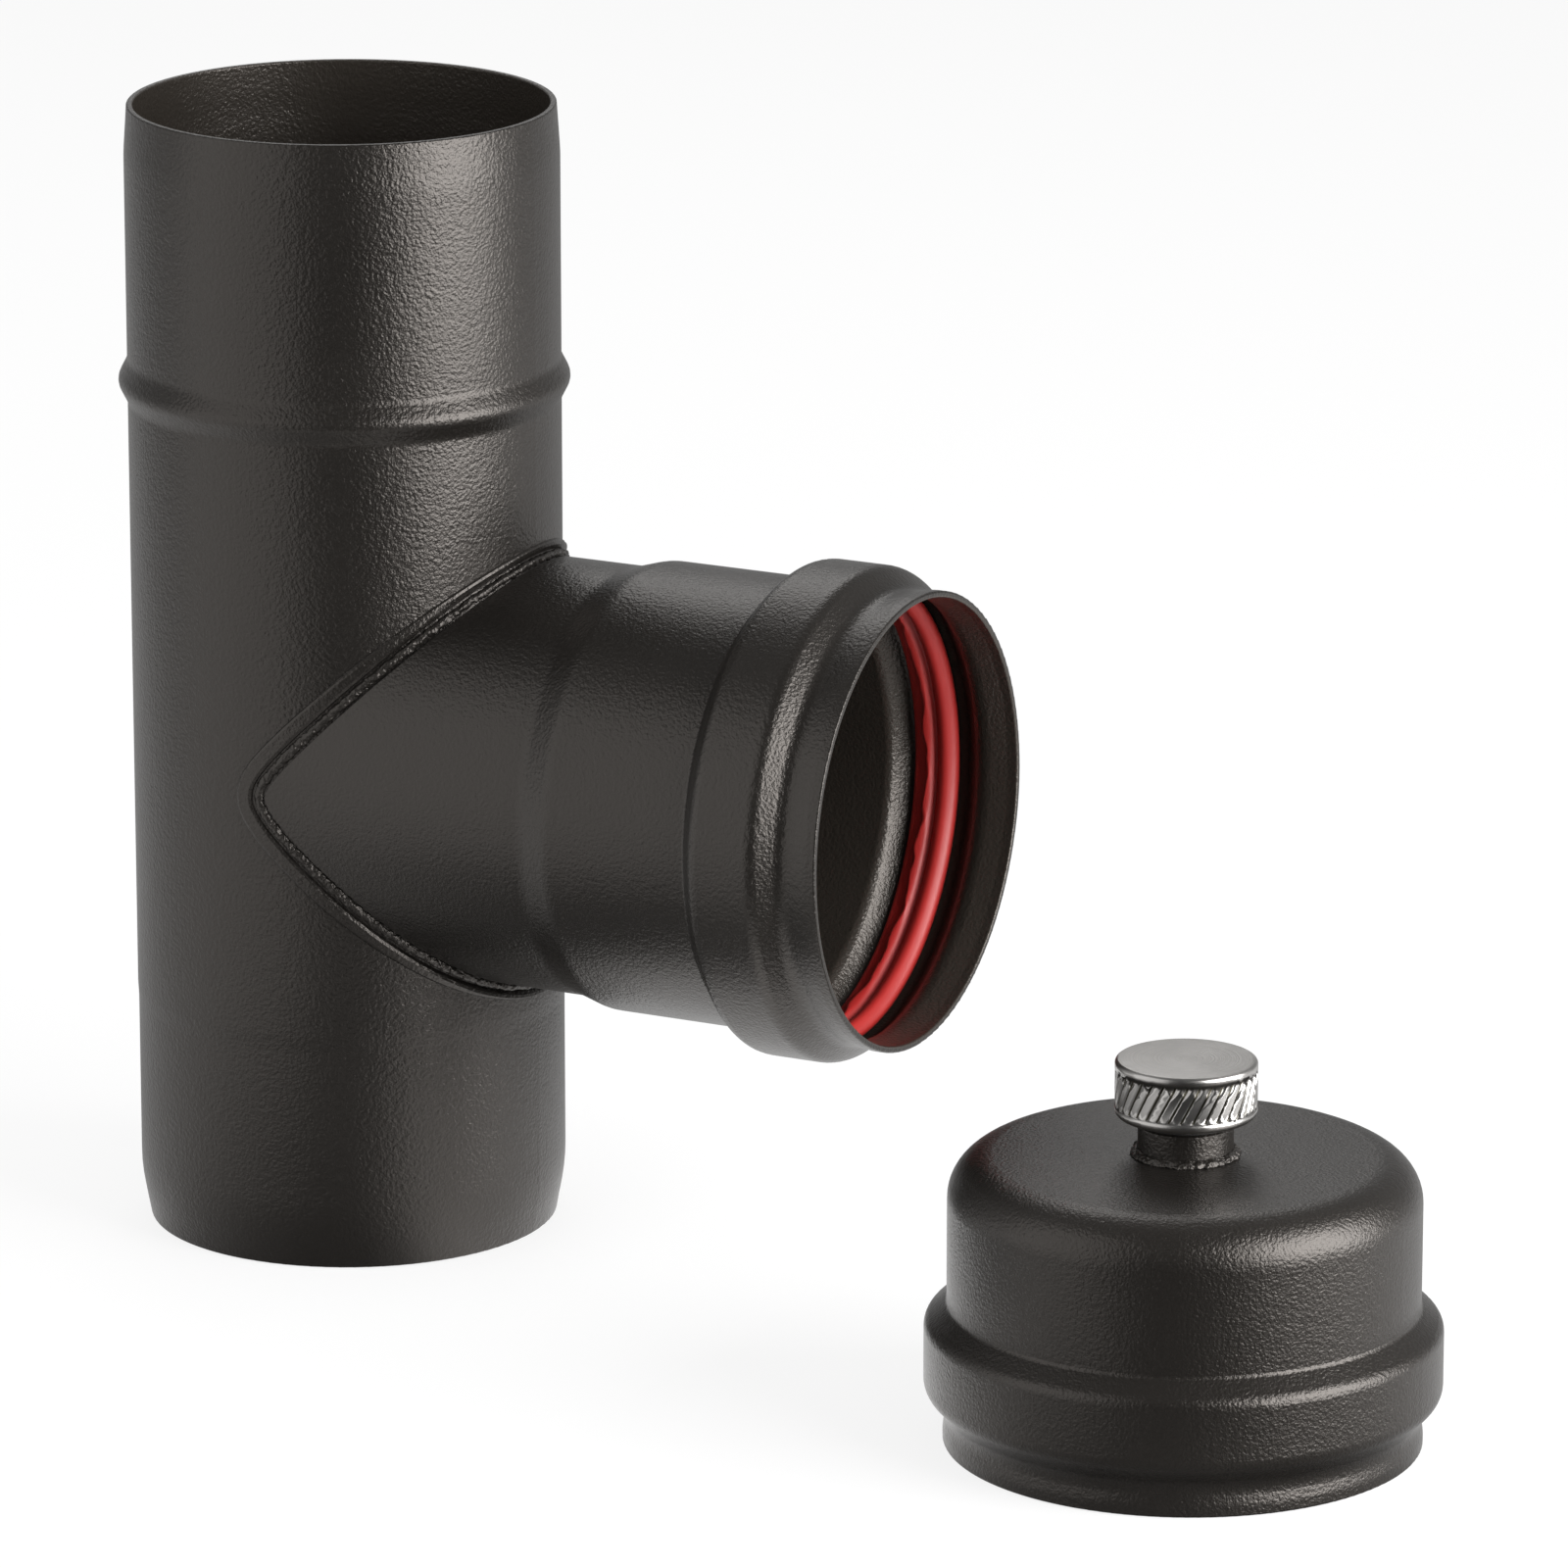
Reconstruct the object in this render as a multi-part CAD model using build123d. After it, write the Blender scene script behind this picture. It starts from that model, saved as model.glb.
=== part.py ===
from build123d import *
import math
import os

# Stove pipe tee of enamelled steel sheet: a main tube that stands on its lower
# male end, a socketed branch along +X, and the lower end's cap with its drain
# plug, standing beside the tee with its mouth down.
# Millimetres, +Z up, origin at the centre of the main tube's lower rim.

# Sheet and main tube
wall = 1.2
rim_round = 0.35
tube_r = 40.0
lower_end_slip = 0.15
lower_end_length = 42.0
lower_end_shoulder = 3.0
lower_lead = 9.0
lower_lead_in = 1.7
upper_lead = 9.0
upper_lead_in = 0.6
lead_blend = 36.0

# Stop bead pressed outward below the upper male end
bead_above_branch = 70.5
insertion = 51.5
bead_rise = 1.95
bead_width = 7.6
bead_blend = 2.6

# Branch and its socket
branch_z = 90.0
branch_slip = 0.15
neck_length = 17.5
socket_clearance = 0.4
socket_depth = 54.9
socket_flare = 6.0
flare_blend = 7.0

# Seal groove pressed outward near a socket's mouth
groove_rise = 4.0
groove_width = 12.0
groove_back_flank = 3.2
groove_front_flank = 4.4
groove_back_blend = 0.9
groove_shoulder_blend = 2.6
groove_front_blend = 3.4
branch_lip = 7.0
cap_lip = 5.5
lip_flare = 0.6
lip_straight = 2.0
lip_blend = 4.0

# Collar pressed up round the hole in the main tube
collar_crown_width = 3.0
collar_side_width = 4.4
collar_rise = 0.6
collar_edge = 0.6
collar_root = 0.5
joint_sections = 13
joint_crowding = 1.5

# Seam groove between the collar and the branch, and the weld bead laid in it
seam_reach = 1.2
seam_depth = 0.5
seam_flare = 0.25
seam_clear = 2.5
weld_height = 0.6
weld_margin = 0.1
weld_shoulder = 0.28
weld_shoulder_height = 0.72
weld_seat = 0.01

# Silicone seal in a groove
seal_gap = 0.3
seal_base = 1.4
seal_bead_r = 1.7
seal_bead_edge = 0.6
seal_lip = 0.9
seal_lip_gap = 0.8
seal_lip_lean = 2.4
seal_root = 0.4
seal_clearance = 0.25

# Cap
cap_beyond_mouth = 76.6
cap_y = -50.0
cap_height = 52.0
cap_corner = 8.0
cap_crown = 0.4

# Drain spigot in the cap, and its weld
spigot_r = 8.4
spigot_bore_r = 6.0
spigot_stand = 6.2
spigot_below = 1.5
spigot_hole_gap = 0.1
spigot_edge = 0.4
spigot_weld_size = 1.3
weld_fullness = 0.62

# Washer and knurled plug
seat_gap = 0.1
washer_thickness = 1.0
washer_r = 8.6
washer_gap = 0.3
plug_r = 12.5
plug_height = 10.3
plug_top_round = 0.8
plug_bottom_round = 1.2
plug_shank_length = 8.0
plug_shank_gap = 0.07
plug_shank_bevel = 0.6
knurl_count = 36
knurl_depth = 0.45
knurl_width = 0.95
knurl_angle = 28.0
knurl_bottom_band = 1.9
knurl_top_band = 1.7
knurl_rim_gap = 0.02

branch_r = tube_r - branch_slip
branch_bore_r = branch_r - wall
socket_bore_r = tube_r + socket_clearance
socket_r = socket_bore_r + wall
groove_r = socket_r + groove_rise
bead_z = branch_z + bead_above_branch
tube_height = bead_z + insertion
neck_end = tube_r + neck_length
branch_reach = neck_end + socket_flare + socket_depth
cap_x = branch_reach + cap_beyond_mouth
spigot_top = cap_height + spigot_stand
washer_z = spigot_top + seat_gap
plug_z = washer_z + washer_thickness + seat_gap


def sheet_face(points, radii):
    """The sheet's section: a filleted outer line and the same line a wall thickness inside."""
    outer = FilletPolyline(*points, radius=radii)
    return make_face(offset(outer, amount=wall, side=Side.LEFT, closed=True).edges())


def rounded_rim(face, axis, end):
    """The section with the sheet's cut edge rounded, at its first or last place along an axis."""
    return fillet(face.vertices().group_by(axis)[end], rim_round)


def socket_line(lip):
    """Outer points and corner radii of a socket's mouth, as distance from the mouth and radius."""
    front_top = lip + groove_front_flank
    back_top = front_top + groove_width
    points = [
        (0, socket_r + lip_flare),
        (lip_straight, socket_r + lip_flare),
        (lip, socket_r),
        (front_top, groove_r),
        (back_top, groove_r),
        (back_top + groove_back_flank, socket_r),
    ]
    radii = [
        lip_blend,
        groove_front_blend,
        groove_front_blend,
        groove_shoulder_blend,
        groove_back_blend,
    ]
    return points, radii


def main_tube_wall():
    """The main tube's wall with its two tapered male ends and the stop bead."""
    half = bead_width / 2
    below = 1 + wall / lower_lead
    above = 1 + wall / upper_lead
    lower_end_r = tube_r - lower_end_slip
    points = [
        (lower_end_r - below * lower_lead_in, -wall),
        (lower_end_r, lower_lead),
        (lower_end_r, lower_end_length),
        (tube_r, lower_end_length + lower_end_shoulder),
        (tube_r, bead_z - half),
        (tube_r + bead_rise, bead_z),
        (tube_r, bead_z + half),
        (tube_r, tube_height - upper_lead),
        (tube_r - above * upper_lead_in, tube_height + wall),
    ]
    radii = [
        lead_blend,
        lower_end_shoulder,
        lower_end_shoulder,
        bead_blend,
        bead_blend,
        bead_blend,
        lead_blend,
    ]
    between_rims = Pos(tube_r, tube_height / 2) * Rectangle(tube_r, tube_height)
    face = sheet_face(points, radii) & between_rims
    face = rounded_rim(rounded_rim(face, Axis.Y, 0), Axis.Y, -1)
    return revolve(Plane.XZ * face, Axis.Z)


def joint_frame(turn):
    """A place on the line where the branch meets the main tube: the point, both surfaces'
    normals, and the ways off the line along the main tube and the branch. turn is 0 on top."""
    y = branch_r * math.sin(turn)
    z = branch_r * math.cos(turn)
    x = math.sqrt(tube_r ** 2 - y ** 2)
    point = Vector(x, y, branch_z + z)
    along = Vector(-y * z / x, z, -y).normalized()
    tube_normal = Vector(x, y, 0).normalized()
    branch_normal = Vector(0, y, z).normalized()
    return point, tube_normal, branch_normal, tube_normal.cross(along), along.cross(branch_normal)


def at_tube_radius(point, radius):
    """The point moved straight out from the main tube's axis to a radius."""
    out = Vector(point.X, point.Y, 0).normalized() * radius
    return Vector(out.X, out.Y, point.Z)


def seam_floor(turn):
    """Both edges of the seam groove's floor, and the way out between the two surfaces."""
    point, tube_normal, branch_normal, up_tube, up_branch = joint_frame(turn)
    out = (tube_normal + branch_normal).normalized()
    on_tube = point + up_tube * seam_reach
    on_branch = point + up_branch * seam_reach - branch_normal * seam_depth
    return on_tube, on_branch, out


def seam_section(turn):
    """What the groove takes away: a floor and two walls that lean apart."""
    _, _, _, up_tube, up_branch = joint_frame(turn)
    on_tube, on_branch, out = seam_floor(turn)
    corners = [
        on_tube,
        on_tube + (out + up_tube * seam_flare) * seam_clear,
        on_branch + (out + up_branch * seam_flare) * seam_clear,
        on_branch,
    ]
    return Wire.make_polygon(corners, close=True)


def weld_section(turn):
    """The weld's round back on the groove's floor, fuller where the corner is sharp."""
    _, tube_normal, branch_normal, _, _ = joint_frame(turn)
    on_tube, on_branch, out = seam_floor(turn)
    height = weld_height * (1 + (1 - tube_normal.dot(branch_normal)) / 2)
    outline = (
        (weld_margin, weld_seat),
        (weld_shoulder, weld_shoulder_height * height),
        (0.5, height),
        (1 - weld_shoulder, weld_shoulder_height * height),
        (1 - weld_margin, weld_seat),
    )
    corners = [on_tube + (on_branch - on_tube) * across + out * rise for across, rise in outline]
    return Wire.make_polygon(corners, close=True)


def collar_section(turn):
    """The collar: a low band with rounded edges, which stands higher where the corner is sharp."""
    point, tube_normal, branch_normal, up_tube, _ = joint_frame(turn)
    on_tube, on_branch, out = seam_floor(turn)
    width = collar_crown_width + (collar_side_width - collar_crown_width) * math.sin(turn) ** 2
    foot = point + up_tube * width
    crest = collar_rise * (2 - tube_normal.dot(branch_normal))
    corners = [
        at_tube_radius(foot, tube_r - collar_root),
        at_tube_radius(foot, tube_r + collar_rise / 4),
        at_tube_radius(foot - up_tube * (collar_edge / 3), tube_r + collar_rise * 3 / 4),
        at_tube_radius(foot - up_tube * collar_edge, tube_r + collar_rise),
        on_tube + out * crest + up_tube * collar_edge,
        on_tube + out * (crest * 2 / 3),
        on_branch + out * collar_root,
        point - out * collar_root,
    ]
    return Wire.make_polygon(corners, close=True)


def round_joint(section):
    """A form that runs all round the joint: one lofted quarter and its mirror images."""
    steps = [i / (joint_sections - 1) for i in range(joint_sections)]
    turns = [math.radians(90 * (1 - step ** joint_crowding)) for step in steps]
    quarter = Solid.make_loft([section(turn) for turn in turns])
    upper = quarter + mirror(quarter, Plane.XZ)
    return upper + mirror(upper, Plane.XY.offset(branch_z))


def along_branch(radius):
    """A round bar on the branch's axis, from the main tube's axis outward."""
    length = 2 * tube_r
    return Pos(length / 2, 0, branch_z) * Rot(0, 90, 0) * Cylinder(radius, length)


def upright_bar(radius):
    """A round bar on the main tube's axis, longer than the tube at both ends."""
    return Pos(0, 0, tube_height / 2) * Cylinder(radius, 2 * tube_height)


def main_tube():
    """The main tube with its hole, and the collar pressed up round the hole."""
    collar = round_joint(collar_section) - along_branch(branch_r)
    return main_tube_wall() + collar - along_branch(branch_bore_r) - round_joint(seam_section)


def branch_weld():
    return round_joint(weld_section)


def branch_socket():
    """The branch: a neck cut to the main tube, then the flared socket with its seal groove."""
    points, radii = socket_line(branch_lip)
    points = [(branch_reach - far, r) for far, r in points]
    points += [(neck_end + socket_flare, socket_r), (neck_end, branch_r), (0, branch_r)]
    radii += [flare_blend, flare_blend]
    face = rounded_rim(sheet_face(points, radii), Axis.X, -1)
    turned = revolve(face, Axis.X)
    return Pos(0, 0, branch_z) * turned - upright_bar(tube_r) - round_joint(seam_section)


def seal_face(lip):
    """A seal's section as distance from the mouth and radius: a band on the groove's floor,
    a round bead towards the mouth and a thin lip behind it that leans inward."""
    floor_r = groove_r - wall - seal_gap
    inner_r = socket_bore_r + seal_clearance
    front = lip + groove_front_flank
    middle = front + groove_width / 2
    band = Pos(middle, floor_r - seal_base / 2) * Rectangle(groove_width - 2 * wall, seal_base)
    bead_x = front + wall + seal_bead_edge + seal_bead_r
    bead = Pos(bead_x, inner_r + seal_bead_r) * Circle(seal_bead_r)
    neck_height = floor_r - seal_root - inner_r - seal_bead_r
    neck = Pos(bead_x, inner_r + seal_bead_r + neck_height / 2) * Rectangle(2 * seal_bead_r, neck_height)
    lip_root = bead_x + seal_bead_r + seal_lip_gap
    lip_tip = lip_root + seal_lip_lean
    fin = Polygon(
        (lip_root, floor_r - seal_root),
        (lip_tip, inner_r),
        (lip_tip + seal_lip, inner_r + seal_root),
        (lip_root + 2 * seal_lip, floor_r - seal_root),
        align=None,
    )
    return band + bead + neck + fin


def branch_gasket():
    face = mirror(seal_face(branch_lip), Plane.YZ)
    return Pos(branch_reach, 0, branch_z) * revolve(face, Axis.X)


def cap_gasket():
    ring = revolve(seal_face(cap_lip), Axis.X)
    return Pos(cap_x, cap_y, 0) * Rot(0, -90, 0) * ring


def cap_shell():
    """The pressed cap: a socket's mouth, a straight wall and a crowned top with a hole."""
    points, radii = socket_line(cap_lip)
    points = [(r, far) for far, r in points]
    hole_r = spigot_r + spigot_hole_gap
    points += [(socket_r, cap_height), (hole_r, cap_height + cap_crown)]
    radii += [cap_corner]
    face = rounded_rim(sheet_face(points, radii), Axis.Y, 0)
    return on_cap(revolve(Plane.XZ * face, Axis.Z))


def on_cap(shape):
    return Pos(cap_x, cap_y, 0) * shape


def drain_spigot():
    bottom = cap_height - wall - spigot_below
    length = spigot_top - bottom
    tube = Cylinder(spigot_r, length) - Cylinder(spigot_bore_r, length)
    tube = chamfer(tube.edges().group_by(Axis.Z)[-1], spigot_edge)
    return on_cap(Pos(0, 0, bottom + length / 2) * tube)


def spigot_weld():
    """A convex fillet weld between the spigot and the cap's top."""
    base = cap_height + cap_crown
    toe = (spigot_r + spigot_weld_size, base)
    crest = (spigot_r + weld_fullness * spigot_weld_size, base + weld_fullness * spigot_weld_size)
    top = (spigot_r, base + spigot_weld_size)
    root = (spigot_r, base)
    section = make_face([Line(root, toe), ThreePointArc(toe, crest, top), Line(top, root)])
    return on_cap(revolve(Plane.XZ * section, Axis.Z))


def plug_washer():
    bore = spigot_bore_r + washer_gap
    body = Cylinder(washer_r, washer_thickness) - Cylinder(bore, washer_thickness)
    return on_cap(Pos(0, 0, washer_z + washer_thickness / 2) * body)


def knurl_section():
    """The knurled rim's section: a disc with a V groove at each pitch."""
    land_r = plug_r - knurl_rim_gap
    half = knurl_width / 2 / plug_r
    corners = []
    for i in range(knurl_count):
        middle = math.tau * i / knurl_count
        for radius, angle in (
            (land_r, middle - half),
            (land_r - knurl_depth, middle),
            (land_r, middle + half),
        ):
            corners.append(Vector(radius * math.cos(angle), radius * math.sin(angle), 0))
    return Wire.make_polygon(corners, close=True)


def knurled_rim():
    """The slanting grooves, as one disc turned while it rises."""
    height = plug_height - knurl_bottom_band - knurl_top_band
    turn = math.degrees(height * math.tan(math.radians(knurl_angle)) / plug_r)
    rise = Vector(0, 0, height)
    rim = Solid.extrude_linear_with_rotation(knurl_section(), Vector(0, 0, 0), rise, turn)
    return Pos(0, 0, knurl_bottom_band) * rim


def drain_plug():
    """The turned head, its knurled rim and the shank that screws into the spigot."""
    foot = Pos(0, 0, knurl_bottom_band / 2) * Cylinder(plug_r, knurl_bottom_band)
    foot = fillet(foot.edges().group_by(Axis.Z)[0], plug_bottom_round)
    top = Pos(0, 0, plug_height - knurl_top_band / 2) * Cylinder(plug_r, knurl_top_band)
    top = fillet(top.edges().group_by(Axis.Z)[-1], plug_top_round)
    shank = Pos(0, 0, -plug_shank_length / 2) * Cylinder(
        spigot_bore_r - plug_shank_gap, plug_shank_length
    )
    shank = chamfer(shank.edges().group_by(Axis.Z)[0], plug_shank_bevel)
    return on_cap(Pos(0, 0, plug_z) * (foot + knurled_rim() + top + shank))


os.makedirs("parts", exist_ok=True)
pieces = {
    "main_tube": main_tube,
    "branch_socket": branch_socket,
    "branch_weld": branch_weld,
    "branch_gasket": branch_gasket,
    "cap_shell": cap_shell,
    "cap_gasket": cap_gasket,
    "drain_spigot": drain_spigot,
    "spigot_weld": spigot_weld,
    "plug_washer": plug_washer,
    "drain_plug": drain_plug,
}
for name, make in pieces.items():
    export_step(make(), f"parts/{name}.step")
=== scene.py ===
import bpy
import math
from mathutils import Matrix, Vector


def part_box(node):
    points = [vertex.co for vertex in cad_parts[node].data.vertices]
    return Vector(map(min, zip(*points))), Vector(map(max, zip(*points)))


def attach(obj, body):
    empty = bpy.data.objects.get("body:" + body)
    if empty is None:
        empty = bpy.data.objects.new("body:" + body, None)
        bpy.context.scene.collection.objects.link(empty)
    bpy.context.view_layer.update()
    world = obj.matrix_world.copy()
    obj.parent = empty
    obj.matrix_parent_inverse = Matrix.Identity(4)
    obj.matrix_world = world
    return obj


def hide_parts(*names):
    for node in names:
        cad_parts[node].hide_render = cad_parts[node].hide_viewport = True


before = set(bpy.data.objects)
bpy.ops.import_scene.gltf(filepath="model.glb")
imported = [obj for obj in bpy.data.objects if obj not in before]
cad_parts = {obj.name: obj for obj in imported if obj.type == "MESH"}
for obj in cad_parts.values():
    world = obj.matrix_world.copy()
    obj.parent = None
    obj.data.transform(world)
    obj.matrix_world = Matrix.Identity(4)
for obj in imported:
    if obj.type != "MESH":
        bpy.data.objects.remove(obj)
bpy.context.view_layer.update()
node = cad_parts

# The main tube is rolled from 1.2 mm steel sheet and welded along its back, with a bead pressed
# outward as a stop and a collar pressed up round the branch's hole. It is sprayed inside and
# out with a satin black stove enamel, which dries to a fine, pebbled grain.


class Signal:
    """A socket of a material. Arithmetic on it adds Math nodes, and node() adds any other."""

    def __init__(self, socket):
        self.socket = socket

    def node(self, kind, settings=None, values=None, out=0):
        tree = self.socket.id_data
        made = tree.nodes.new(kind)
        for name, setting in (settings or {}).items():
            if name == "stops":
                ramp = made.color_ramp.elements
                while len(ramp) < len(setting):
                    ramp.new(0.5)
                for stop, (place, color) in zip(ramp, setting):
                    stop.position, stop.color = place, color
            else:
                setattr(made, name, setting)
        for name, value in (values or {}).items():
            if isinstance(value, Signal):
                tree.links.new(value.socket, made.inputs[name])
            else:
                made.inputs[name].default_value = value
        return Signal(made.outputs[out])

    def math(self, operation, first, second=0.0):
        return self.node("ShaderNodeMath", {"operation": operation}, {0: first, 1: second})

    def vector_math(self, operation, first, second=(0, 0, 0), out=0):
        values = {0: first, 1: second}
        return self.node("ShaderNodeVectorMath", {"operation": operation}, values, out)

    def __add__(self, other):
        return self.math("ADD", self, other)

    def __sub__(self, other):
        return self.math("SUBTRACT", self, other)

    def __rsub__(self, other):
        return self.math("SUBTRACT", other, self)

    def __mul__(self, other):
        return self.math("MULTIPLY", self, other)

    __radd__ = __add__
    __rmul__ = __mul__


def new_material(name, **uniform):
    """A material with one Principled shader. Returns it, the shader and the object's place."""
    material = bpy.data.materials.new(name)
    material.use_nodes = True
    nodes = material.node_tree.nodes
    shader = nodes["Principled BSDF"]
    for socket, value in uniform.items():
        shader.inputs[socket.replace("_", " ")].default_value = value
    place = nodes.new("ShaderNodeTexCoord")
    return material, shader, Signal(place.outputs["Object"])


def drive(shader, **varying):
    """Links what changes over the surface to the shader."""
    for socket, value in varying.items():
        target = shader.inputs[socket.replace("_", " ")]
        target.id_data.links.new(value.socket, target)


def noise(place, size, detail=2.0, roughness=0.5):
    """Noise whose features are about size metres across."""
    values = {"Vector": place, "Scale": 1 / size, "Detail": detail, "Roughness": roughness}
    return place.node("ShaderNodeTexNoise", {}, values)


def color_between(factor, first, second):
    """A colour that goes from first to second with the factor."""
    ends = [end if isinstance(end, Signal) else (*end, 1) for end in (first, second)]
    return factor.node("ShaderNodeMix", {"data_type": "RGBA"},
                       {"Factor": factor, "A": ends[0], "B": ends[1]}, out=2)


def rise(value, start, end):
    """0 where the value is at start, 1 where it is at end, and even between them."""
    return value.node("ShaderNodeMapRange", {},
                      {"Value": value, "From Min": start, "From Max": end})


def bumped(place, height, distance):
    """A Normal from a height, which is as deep as distance, in metres."""
    values = {"Strength": 1.0, "Distance": distance, "Height": height}
    return place.node("ShaderNodeBump", {}, values)


def enamel(name, roughness, grain_size, grain_depth, axis_point=(0, 0, 0), across_axis=(0, 0, 0)):
    """Satin black stove enamel with its fine grain. The faces that look towards the piece's axis,
    which goes through axis_point, get a lighter brown tone: painted light that brightens the
    shaded insides. Without an axis none do."""
    warm_gloss = (1.0, 0.925, 0.865, 1)
    black = ((0.0060, 0.0053, 0.0046), (0.0105, 0.0092, 0.0080))
    # Painted light: the inward faces get this lighter brown tone in place of the light that
    # reaches inside.
    inside_painted_light = ((0.022, 0.0185, 0.015), (0.031, 0.0265, 0.022))
    material, shader, place = new_material(
        name, Specular_IOR_Level=0.62, Specular_Tint=warm_gloss)

    from_axis = place.vector_math("SUBTRACT", place, axis_point)
    from_axis = place.vector_math("MULTIPLY", from_axis, across_axis)
    facing = place.node("ShaderNodeTexCoord", out="Normal")
    outside = place.vector_math("DOT_PRODUCT", from_axis, facing, "Value")
    inside = rise(outside, 0.0, -0.002)

    cloud = noise(place, size=0.03, detail=3.0)
    speck = noise(place, size=0.0006, detail=1.0)
    tone = cloud * 0.7 + speck * 0.3
    wave = noise(place, 5 * grain_size, detail=1.0)
    grain = noise(place, grain_size, detail=1.5, roughness=0.6) + wave * 0.3
    drive(
        shader,
        Base_Color=color_between(
            inside, color_between(tone, *black), color_between(tone, *inside_painted_light)),
        Roughness=cloud * 0.06 + (roughness - 0.03),
        Normal=bumped(place, grain, grain_depth),
    )
    return material


def dress(piece, material):
    """Puts one material on a piece, in place of what it came with."""
    piece.data.materials.clear()
    piece.data.materials.append(material)
    for face in piece.data.polygons:
        face.material_index = 0


def take(piece):
    """Selects one piece alone."""
    bpy.ops.object.select_all(action="DESELECT")
    piece.select_set(True)
    bpy.context.view_layer.objects.active = piece


def finish_with(piece, kind, **settings):
    """Puts a modifier on a piece and applies it."""
    take(piece)
    modifier = piece.modifiers.new(kind.title(), kind)
    for name, setting in settings.items():
        setattr(modifier, name, setting)
    bpy.ops.object.modifier_apply(modifier=modifier.name)


def settle(piece):
    """Moves a piece's place into its mesh."""
    take(piece)
    bpy.ops.object.transform_apply(location=True, rotation=True, scale=True)


sheet_roughness = 0.34
along_z = (1, 1, 0)
tube_enamel = enamel("tube_enamel", sheet_roughness, grain_size=0.0007, grain_depth=0.00018,
                     axis_point=(0, 0, 0), across_axis=along_z)
dress(node["main_tube"], tube_enamel)

tube_low, tube_high = (Vector(corner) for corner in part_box("main_tube"))
tube_height = tube_high.z - tube_low.z
seam_turn = math.radians(124)
seam_width = 0.0026
seam_height = 0.00016
seam_sunk = 0.00002
seam_root = 0.0003
seam_margin = 0.0012
ripple_length = 0.0011
ripple_depth = 0.2
outside_tube = 0.045
seam_way = Vector((math.cos(seam_turn), math.sin(seam_turn), 0))
seam_side = Vector((-math.sin(seam_turn), math.cos(seam_turn), 0))
bpy.ops.object.select_all(action="DESELECT")
bpy.ops.mesh.primitive_grid_add(x_subdivisions=8, y_subdivisions=420, size=1)
seam = bpy.context.object
seam.name = "tube_seam"
seam.scale = (seam_width, tube_height - 2 * seam_margin, 1)
seam.rotation_euler = (math.pi / 2, 0, seam_turn + math.pi / 2)
seam.location = seam_way * outside_tube + Vector((0, 0, tube_low.z + tube_height / 2))
settle(seam)
finish_with(seam, "SHRINKWRAP", target=node["main_tube"], wrap_method="NEAREST_SURFACEPOINT")
for vertex in seam.data.vertices:
    across = vertex.co.dot(seam_side) / (seam_width / 2)
    wave = math.sin(vertex.co.z / ripple_length + 2 * across ** 2)
    ripple = 1 - ripple_depth + ripple_depth * wave
    vertex.co += seam_way * (seam_height * (1 - across ** 2) * ripple - seam_sunk)
finish_with(seam, "SOLIDIFY", thickness=seam_root, offset=-1)
bpy.ops.object.shade_smooth_by_angle(angle=math.radians(50))
dress(seam, tube_enamel)
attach(seam, "tee_and_cap")

# The branch is a second tube, its end flared into a socket with a groove pressed out for its
# seal. The other end is cut to the main tube's shape. It has the same enamel.
branch_low, branch_high = (Vector(corner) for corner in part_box("branch_socket"))
branch_z = (branch_low.z + branch_high.z) / 2
along_x = (0, 1, 1)
branch_enamel = enamel("branch_enamel", sheet_roughness, grain_size=0.00065,
                       grain_depth=0.00015, axis_point=(0, 0, branch_z), across_axis=along_x)
dress(node["branch_socket"], branch_enamel)

# The branch is welded into the collar's groove all the way round. The bead is laid by hand, so
# it is lumpy, and the enamel on it is rougher and breaks up what it mirrors.


def merged_copy(name, cad_name):
    """A copy of a CAD piece with its triangles joined along their edges."""
    piece = bpy.data.objects.new(name, node[cad_name].data.copy())
    bpy.context.scene.collection.objects.link(piece)
    take(piece)
    bpy.ops.object.mode_set(mode="EDIT")
    bpy.ops.mesh.select_all(action="SELECT")
    bpy.ops.mesh.remove_doubles(threshold=0.000001)
    bpy.ops.object.mode_set(mode="OBJECT")
    return piece


def lumpy_weld(name, cad_name, cell, lump_size, lump_height):
    """A weld bead: the CAD bead, remeshed finely and pushed into lumps, with smaller ones on
    them."""
    piece = merged_copy(name, cad_name)
    finish_with(piece, "REMESH", mode="VOXEL", voxel_size=cell)
    for size, height in ((lump_size, lump_height), (lump_size / 3, lump_height / 3)):
        lumps = bpy.data.textures.new(name, "CLOUDS")
        lumps.noise_scale = size
        finish_with(piece, "DISPLACE", texture=lumps, texture_coords="LOCAL", strength=height)
    finish_with(piece, "SMOOTH", factor=0.5, iterations=1)
    take(piece)
    bpy.ops.object.shade_smooth()
    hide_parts(cad_name)
    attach(piece, "tee_and_cap")
    return piece


weld_enamel = enamel("weld_enamel", roughness=0.38, grain_size=0.0005, grain_depth=0.00008)
branch_weld_bead = lumpy_weld("branch_weld_bead", "branch_weld", cell=0.00016,
                              lump_size=0.0013, lump_height=0.0007)
dress(branch_weld_bead, weld_enamel)

# The seals are moulded from red silicone rubber and pressed into the grooves: a broad round bead
# that grips the pipe, and behind it a thin lip whose free edge comes out of the mould wavy.
seal_inner_r = 0.04065
seal_bead_r = 0.00175
seal_bead_place = 0.0023
seal_foot_rise = 0.0013
seal_band_rise = 0.0025
lip_front = 0.0058
lip_back = 0.0068
lip_rise = 0.0013
lip_wave_length = 0.004
lip_wave_height = 0.0026
seal_low, seal_high = (Vector(corner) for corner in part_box("branch_gasket"))
seal_floor_r = (seal_high.y - seal_low.y) / 2
seal_width = seal_high.x - seal_low.x


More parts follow.
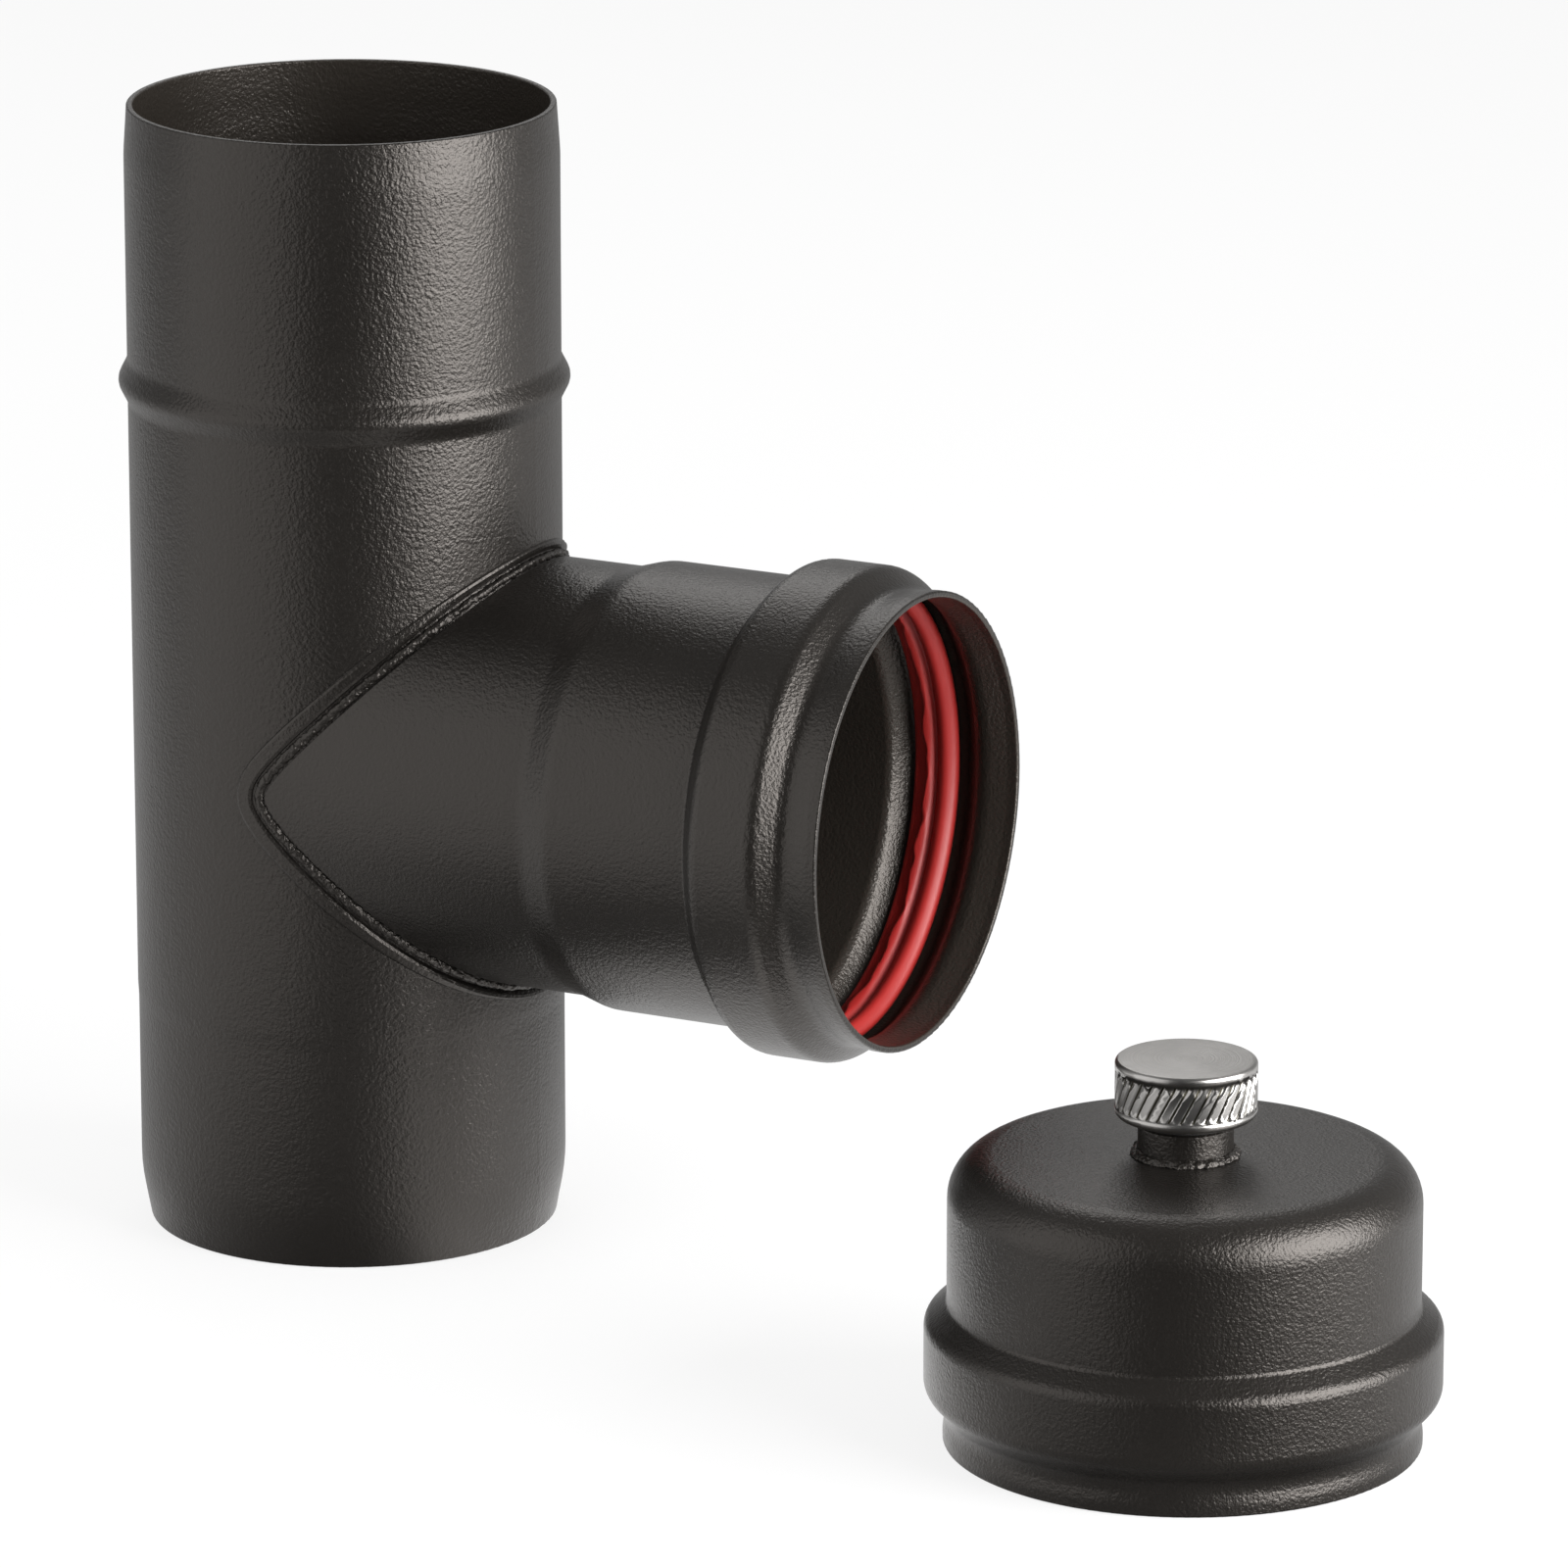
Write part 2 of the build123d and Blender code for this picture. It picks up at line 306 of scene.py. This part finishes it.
def seal_outline():
    """The section, as distance from the front face and radius: front foot, bead, lip and band.
    The lip is given in millimetres, from the front face and from the inner radius."""
    bead_center_r = seal_inner_r + seal_bead_r
    points = [(0, seal_floor_r), (0, seal_inner_r + seal_foot_rise)]
    for step in range(10):
        a = math.radians(231 + 13 * step)
        points.append((seal_bead_place + seal_bead_r * math.cos(a),
                       bead_center_r + seal_bead_r * math.sin(a)))
    lip = ((4.45, 1.75), (4.75, 1.35), (5.10, 0.85), (5.50, 0.52), (5.95, 0.40),
           (6.40, 0.46), (6.62, 0.68), (6.45, 0.90), (6.15, 1.20), (6.05, 1.70),
           (6.35, 2.05), (7.40, 2.15), (9.10, 2.15))
    points += [(back / 1000, seal_inner_r + up / 1000) for back, up in lip]
    return points + [(seal_width, seal_inner_r + seal_band_rise), (seal_width, seal_floor_r)]


def seal_ring():
    """The seal about the x axis, its front face at x = 0 and its band behind that."""
    outline = seal_outline()
    bpy.ops.object.select_all(action="DESELECT")
    bpy.ops.mesh.primitive_circle_add(vertices=len(outline), radius=seal_bead_r)
    ring = bpy.context.object
    for vertex, (back, radius) in zip(ring.data.vertices, outline):
        vertex.co = (-back, 0, radius)
    bpy.ops.object.mode_set(mode="EDIT")
    bpy.ops.mesh.select_all(action="SELECT")
    bpy.ops.mesh.spin(steps=216, angle=math.tau, center=(0, 0, 0), axis=(1, 0, 0))
    bpy.ops.mesh.select_all(action="SELECT")
    bpy.ops.mesh.remove_doubles(threshold=0.000002)
    bpy.ops.mesh.normals_make_consistent(inside=False)
    bpy.ops.object.mode_set(mode="OBJECT")
    edge = ring.vertex_groups.new(name="lip_edge")
    for vertex in ring.data.vertices:
        radius = math.hypot(vertex.co.y, vertex.co.z)
        if lip_front < -vertex.co.x < lip_back and radius < seal_inner_r + lip_rise:
            edge.add([vertex.index], 1.0, "REPLACE")
    waves = bpy.data.textures.new("lip_waves", "CLOUDS")
    waves.noise_scale = lip_wave_length
    finish_with(ring, "DISPLACE", texture=waves, texture_coords="LOCAL",
                vertex_group="lip_edge", direction="X", strength=lip_wave_height)
    finish_with(ring, "SUBSURF", levels=1, render_levels=1)
    take(ring)
    bpy.ops.object.shade_smooth()
    return ring


def red_silicone():
    """Deep red rubber with a soft shine and a little dust."""
    red = ((0.40, 0.014, 0.012), (0.50, 0.022, 0.018))
    material, shader, place = new_material("red_silicone", Specular_IOR_Level=0.8)
    dust = noise(place, size=0.0005)
    drive(
        shader,
        Base_Color=color_between(noise(place, size=0.008), *red),
        Roughness=dust * 0.10 + 0.46,
        Normal=bumped(place, noise(place, size=0.0012), 0.00002),
    )
    return material


silicone = red_silicone()
branch_seal = seal_ring()
branch_seal.name = "branch_seal"
cap_seal = bpy.data.objects.new("cap_seal", branch_seal.data.copy())
bpy.context.scene.collection.objects.link(cap_seal)
branch_seal.location = (seal_high.x, 0, branch_z)
cap_seal_low, cap_seal_high = (Vector(corner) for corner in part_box("cap_gasket"))
cap_seal.rotation_euler = (0, math.pi / 2, 0)
cap_seal_middle = (cap_seal_low + cap_seal_high) / 2
cap_seal.location = (cap_seal_middle.x, cap_seal_middle.y, cap_seal_low.z)
for seal, cad_name in ((branch_seal, "branch_gasket"), (cap_seal, "cap_gasket")):
    settle(seal)
    dress(seal, silicone)
    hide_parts(cad_name)
    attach(seal, "tee_and_cap")

# The cap is one pressing of the same sheet, with the branch's mouth and groove, and a hole in its
# slightly crowned top for the drain spigot.
cap_low, cap_high = (Vector(corner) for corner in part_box("cap_shell"))
cap_middle = (cap_low + cap_high) / 2
cap_enamel = enamel("cap_enamel", sheet_roughness, grain_size=0.0006, grain_depth=0.00016,
                    axis_point=cap_middle, across_axis=along_z)
dress(node["cap_shell"], cap_enamel)

# The drain spigot is a short length of thick tube, welded into the cap's hole. The weld is laid
# by hand round its foot and stands in rough lumps.
dress(node["drain_spigot"], cap_enamel)
spigot_weld_bead = lumpy_weld("spigot_weld_bead", "spigot_weld", cell=0.00014,
                              lump_size=0.0017, lump_height=0.0010)
dress(spigot_weld_bead, weld_enamel)

# A black rubber washer lies between the spigot's end and the plug, and comes up with the plug.
black_rubber = ((0.010, 0.010, 0.010), (0.022, 0.021, 0.020))
washer_rubber, shader, place = new_material("washer_rubber", Specular_IOR_Level=0.3)
drive(
    shader,
    Base_Color=color_between(noise(place, size=0.002), *black_rubber),
    Roughness=noise(place, size=0.001) * 0.1 + 0.6,
    Normal=bumped(place, noise(place, size=0.0006), 0.00002),
)
dress(node["plug_washer"], washer_rubber)

# The drain plug is turned from aluminium bar: a faced top that keeps the tool's rings, a rounded
# rim, a slanting knurl with painted shade in its grooves, and a shank with a 1.5 mm thread.
plug_low, plug_high = (Vector(corner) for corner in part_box("drain_plug"))
plug_middle = (plug_low + plug_high) / 2
plug_r = (plug_high.x - plug_low.x) / 2
washer_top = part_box("plug_washer")[1][2]
head_z = washer_top + 0.0001


def turned_aluminium():
    """Bright turned metal, matt on the faced top, with painted shade darkening the knurl's
    grooves.
    """
    bright = ((0.37, 0.36, 0.345), (0.52, 0.505, 0.49))
    groove_shade_color = (0.055, 0.050, 0.036)
    ring_width = 0.00035
    knurl_crest_r, knurl_groove_r = plug_r - 0.00016, plug_r - 0.00034
    material, shader, place = new_material("turned_aluminium", Metallic=1.0)

    from_axis = place.vector_math("SUBTRACT", place, (plug_middle.x, plug_middle.y, 0))
    from_axis = place.vector_math("MULTIPLY", from_axis, (1, 1, 0))
    radius = place.vector_math("LENGTH", from_axis, out="Value")
    height = place.node("ShaderNodeSeparateXYZ", {}, {0: place}, out=2)
    on_top = rise(height, plug_high.z - 0.00015, plug_high.z - 0.00005)
    groove = rise(radius, knurl_crest_r, knurl_groove_r)
    below_rim = rise(height, plug_high.z - 0.0016, plug_high.z - 0.0018)
    above_foot = rise(height, head_z + 0.0018, head_z + 0.0020)
    # Painted shade: the knurl's grooves are darkened to a brownish black, and made rougher.
    groove_painted_shade = groove * below_rim * above_foot

    cloud = noise(place, size=0.004, detail=3.0)
    rings = place.node("ShaderNodeTexNoise", {"noise_dimensions": "1D"},
                       {"W": radius, "Scale": 1 / ring_width, "Detail": 3.0, "Roughness": 0.6})
    scuffs = noise(place, size=0.0009) * (on_top * 0.8 + 0.03)
    metal = color_between(cloud + (rings - 0.5) * on_top, *bright)
    drive(
        shader,
        Base_Color=color_between(groove_painted_shade, metal, groove_shade_color),
        Roughness=cloud * 0.08 + on_top * 0.12 + groove_painted_shade * 0.20 + 0.26,
        Normal=bumped(place, rings * on_top * 1.6 + scuffs, 0.00003),
    )
    return material


aluminium = turned_aluminium()
thread_pitch = 0.0015
thread_r = 0.0059
thread_core_r = 0.0050
thread_rounding = 0.00004
thread_half_crest = 0.00008
thread_half_foot = 0.00068
thread_sunk = 0.0002
crisp_edge = math.radians(35)
neck_bottom = head_z - 0.0006
thread_top = neck_bottom + 0.0001
thread_bottom = plug_low.z

plug_head = merged_copy("plug_head", "drain_plug")
bpy.ops.object.mode_set(mode="EDIT")
bpy.ops.mesh.select_all(action="SELECT")
bpy.ops.mesh.bisect(plane_co=(0, 0, neck_bottom), plane_no=(0, 0, 1),
                    use_fill=True, clear_inner=True)
bpy.ops.object.mode_set(mode="OBJECT")
take(plug_head)
bpy.ops.object.shade_smooth_by_angle(angle=crisp_edge)

bpy.ops.object.select_all(action="DESELECT")
bpy.ops.mesh.primitive_cylinder_add(
    vertices=64, radius=thread_core_r, depth=thread_top - thread_bottom,
    location=(plug_middle.x, plug_middle.y, (thread_top + thread_bottom) / 2))
plug_thread = bpy.context.object
plug_thread.name = "plug_thread"
settle(plug_thread)
finish_with(plug_thread, "BEVEL", width=0.0005, segments=2, limit_method="ANGLE")

ridge_outline = (
    (thread_core_r - thread_sunk, -thread_half_foot),
    (thread_r - thread_rounding, -thread_half_crest),
    (thread_r, 0.0),
    (thread_r - thread_rounding, thread_half_crest),
    (thread_core_r - thread_sunk, thread_half_foot))
bpy.ops.object.select_all(action="DESELECT")
bpy.ops.mesh.primitive_circle_add(vertices=len(ridge_outline), radius=thread_pitch)
ridge = bpy.context.object
for vertex, (radius, up) in zip(ridge.data.vertices, ridge_outline):
    vertex.co = (radius, 0, up)
thread_turns = int((thread_top - thread_bottom) / thread_pitch) - 1
finish_with(ridge, "SCREW", axis="Z", angle=math.tau, screw_offset=thread_pitch,
            iterations=thread_turns, steps=64, render_steps=64, use_normal_calculate=True)
bpy.ops.object.mode_set(mode="EDIT")
bpy.ops.mesh.select_all(action="SELECT")
bpy.ops.mesh.fill_holes(sides=0)
bpy.ops.mesh.select_all(action="SELECT")
bpy.ops.mesh.normals_make_consistent(inside=False)
bpy.ops.object.mode_set(mode="OBJECT")
ridge.location = (plug_middle.x, plug_middle.y, thread_bottom + thread_pitch)
settle(ridge)
take(plug_thread)
ridge.select_set(True)
bpy.ops.object.join()
bpy.ops.object.shade_smooth_by_angle(angle=crisp_edge)

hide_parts("drain_plug")
for piece in (plug_head, plug_thread):
    dress(piece, aluminium)
    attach(piece, "plug")

# The part stands on a pale table. Soft panels light it from both sides and from behind, and the
# room in front of the table is dark. The table also carries a painted reflection: for mirrored
# rays it glows in bright and dark bands round the pieces, which with the dark room leaves the
# dark line down the enamel's middle.


def from_direction(azimuth, elevation, distance):
    """A point seen from the part at an azimuth, counted as the camera's is, and an elevation."""
    a, e = math.radians(azimuth), math.radians(elevation)
    return Vector((math.sin(a) * math.cos(e), -math.cos(a) * math.cos(e), math.sin(e))) * distance


def ray_kinds(tree):
    """Two masks: rays from the camera, and rays that a surface mirrors or lets through."""
    rays = tree.nodes.new("ShaderNodeLightPath")
    camera, glossy, clear = (Signal(rays.outputs[n]) for n in
                             ("Is Camera Ray", "Is Glossy Ray", "Is Transmission Ray"))
    return camera, camera.math("MAXIMUM", glossy, clear)


camera_azimuth = 27.0
camera_elevation = 15.5
camera_distance = 1.80
camera_side = 0.081
camera_height = 0.5815

back_way = from_direction(camera_azimuth, camera_elevation, 1.0)
level_way = from_direction(camera_azimuth, 0.0, 1.0)
right_way = from_direction(camera_azimuth + 90, 0.0, 1.0)

scene = bpy.context.scene
scene.view_settings.view_transform = "Standard"
world = bpy.data.worlds.new("studio")
scene.world = world
world.use_nodes = True
sky = world.node_tree
backdrop = sky.nodes["Background"]
camera_rays, mirrored_rays = ray_kinds(sky)
ambient = 0.45
mirrored_back = 0.5
mirrored_above = 0.30
mirrored_front = 0.0
smooth = {"interpolation_type": "SMOOTHSTEP"}
way = Signal(sky.nodes.new("ShaderNodeTexCoord").outputs["Generated"])
toward_camera = way.vector_math("DOT_PRODUCT", way, level_way, "Value")
way_up = way.node("ShaderNodeSeparateXYZ", {}, {0: way}, out=2)
behind = way.node("ShaderNodeMapRange", smooth, {
    "Value": way_up, "From Min": 0.0, "From Max": 0.2,
    "To Min": mirrored_back - ambient, "To Max": mirrored_above - ambient})
mirrored = way.node("ShaderNodeMapRange", smooth, {
    "Value": toward_camera, "From Min": -0.2, "From Max": 0.6,
    "To Min": behind, "To Max": mirrored_front - ambient})
strength = camera_rays * (1 - ambient) + mirrored_rays * mirrored + ambient
sky.links.new(strength.socket, backdrop.inputs["Strength"])
backdrop.inputs["Color"].default_value = (1, 1, 1, 1)

table_front = 0.24
table_back = 1.6
table_side = 0.62
table_shift = Vector((0.07, 0.03, -0.0002))
table_glow = 1.1
glow_share = 0.75
bpy.ops.object.select_all(action="DESELECT")
bpy.ops.mesh.primitive_plane_add(size=1)
floor = bpy.context.object
floor.name = "floor"
floor.scale = (2 * table_side, table_front + table_back, 1)
floor.rotation_euler = (0, 0, math.radians(camera_azimuth))
floor.location = level_way * ((table_front - table_back) / 2) + table_shift
settle(floor)
pale, shader, place = new_material("pale_floor", Roughness=0.9, Base_Color=(0.82, 0.82, 0.82, 1))
tree = pale.node_tree
camera_rays, mirrored_rays = ray_kinds(tree)


def painted_reflection_round(center, brightness):
    """A painted reflection: how brightly the table glows for mirrored rays round one of the
    pieces that stand on it, as pairs of a direction in degrees, 0 towards the camera and positive
    to its right, and a brightness."""
    offset = place.vector_math("SUBTRACT", place, center)
    lateral = place.vector_math("DOT_PRODUCT", offset, right_way, "Value")
    forward = place.vector_math("DOT_PRODUCT", offset, level_way, "Value")
    turn = place.math("ARCTAN2", lateral, forward) * (0.5 / math.pi) + 0.5
    stops = [((a + 180) / 360, (b / 2, b / 2, b / 2, 1)) for a, b in brightness]
    return place.node("ShaderNodeValToRGB", {"stops": stops}, {"Fac": turn}) * 2


# Painted reflection: the bands of brightness round the tube and the cap that the enamel mirrors.
tube_painted_reflection = painted_reflection_round((0, 0, 0), (
    (-180, 0.4), (-100, 1.0), (-79, 1.05), (-48, 0.62), (-30, 0.36), (-12, 0.2), (6, 0.22),
    (17, 0.6), (27, 1.5), (38, 1.85), (52, 1.65), (100, 1.5), (140, 0.8), (180, 0.4)))
cap_painted_reflection = painted_reflection_round((cap_middle.x, cap_middle.y, 0), (
    (-180, 0.4), (-100, 1.0), (-84, 0.9), (-62, 0.62), (-46, 0.38), (-25, 0.2), (10, 0.15),
    (28, 0.12), (44, 0.25), (60, 0.5), (80, 0.9), (110, 1.0), (140, 0.8), (180, 0.4)))
from_tube = place.vector_math("LENGTH", place, out="Value")
near_cap = place.node("ShaderNodeMapRange", smooth, {
    "Value": from_tube, "From Min": 0.14, "From Max": 0.20})
# Painted shade: the painted reflection is dimmed close round the tube.
near_tube_painted_shade = place.node("ShaderNodeMapRange", smooth, {
    "Value": from_tube, "From Min": 0.10, "From Max": 0.19, "To Min": 0.82, "To Max": 1.0})
painted_reflection = (tube_painted_reflection + near_cap * (cap_painted_reflection - tube_painted_reflection)) * near_tube_painted_shade
# The table glows evenly for camera rays, and with the painted reflection for mirrored rays.
glow = place.node("ShaderNodeEmission", {}, {
    "Strength": camera_rays * table_glow + mirrored_rays * painted_reflection})
surface = place.node("ShaderNodeMixShader", {}, {
    "Fac": camera_rays * glow_share + mirrored_rays, 1: Signal(shader.outputs[0]), 2: glow})
tree.links.new(surface.socket, tree.nodes["Material Output"].inputs["Surface"])
dress(floor, pale)

part_x, part_y = 0.07, -0.01


def soft_panel(name, azimuth, elevation, distance, middle_height, width, height, watts):
    """A soft light that faces the part, which sees it at an azimuth and an elevation."""
    light = bpy.data.lights.new(name, "AREA")
    light.shape = "RECTANGLE"
    light.size, light.size_y = width, height
    light.energy = watts
    lamp = bpy.data.objects.new(name, light)
    scene.collection.objects.link(lamp)
    aim = Vector((part_x, part_y, middle_height))
    lamp.location = aim + from_direction(azimuth, elevation, distance)
    lamp.rotation_euler = (lamp.location - aim).to_track_quat("Z", "Y").to_euler()
    lamp.visible_camera = False
    return lamp


soft_panel("right_panel", azimuth=87, elevation=0, distance=0.75, middle_height=0.32,
           width=0.72, height=0.66, watts=13.5)
soft_panel("left_panel", azimuth=-31, elevation=0, distance=0.80, middle_height=0.45,
           width=1.02, height=1.30, watts=4.3)
soft_panel("back_panel", azimuth=210, elevation=41, distance=1.20, middle_height=0.10,
           width=0.60, height=0.60, watts=2.0)

camera = bpy.data.cameras.new("camera")
camera.sensor_width = 36
camera.lens = 230
camera.clip_end = 20
eye = bpy.data.objects.new("camera", camera)
scene.collection.objects.link(eye)
eye.location = level_way * camera_distance + right_way * camera_side
eye.location.z = camera_height
eye.rotation_euler = back_way.to_track_quat("Z", "Y").to_euler()
scene.camera = eye
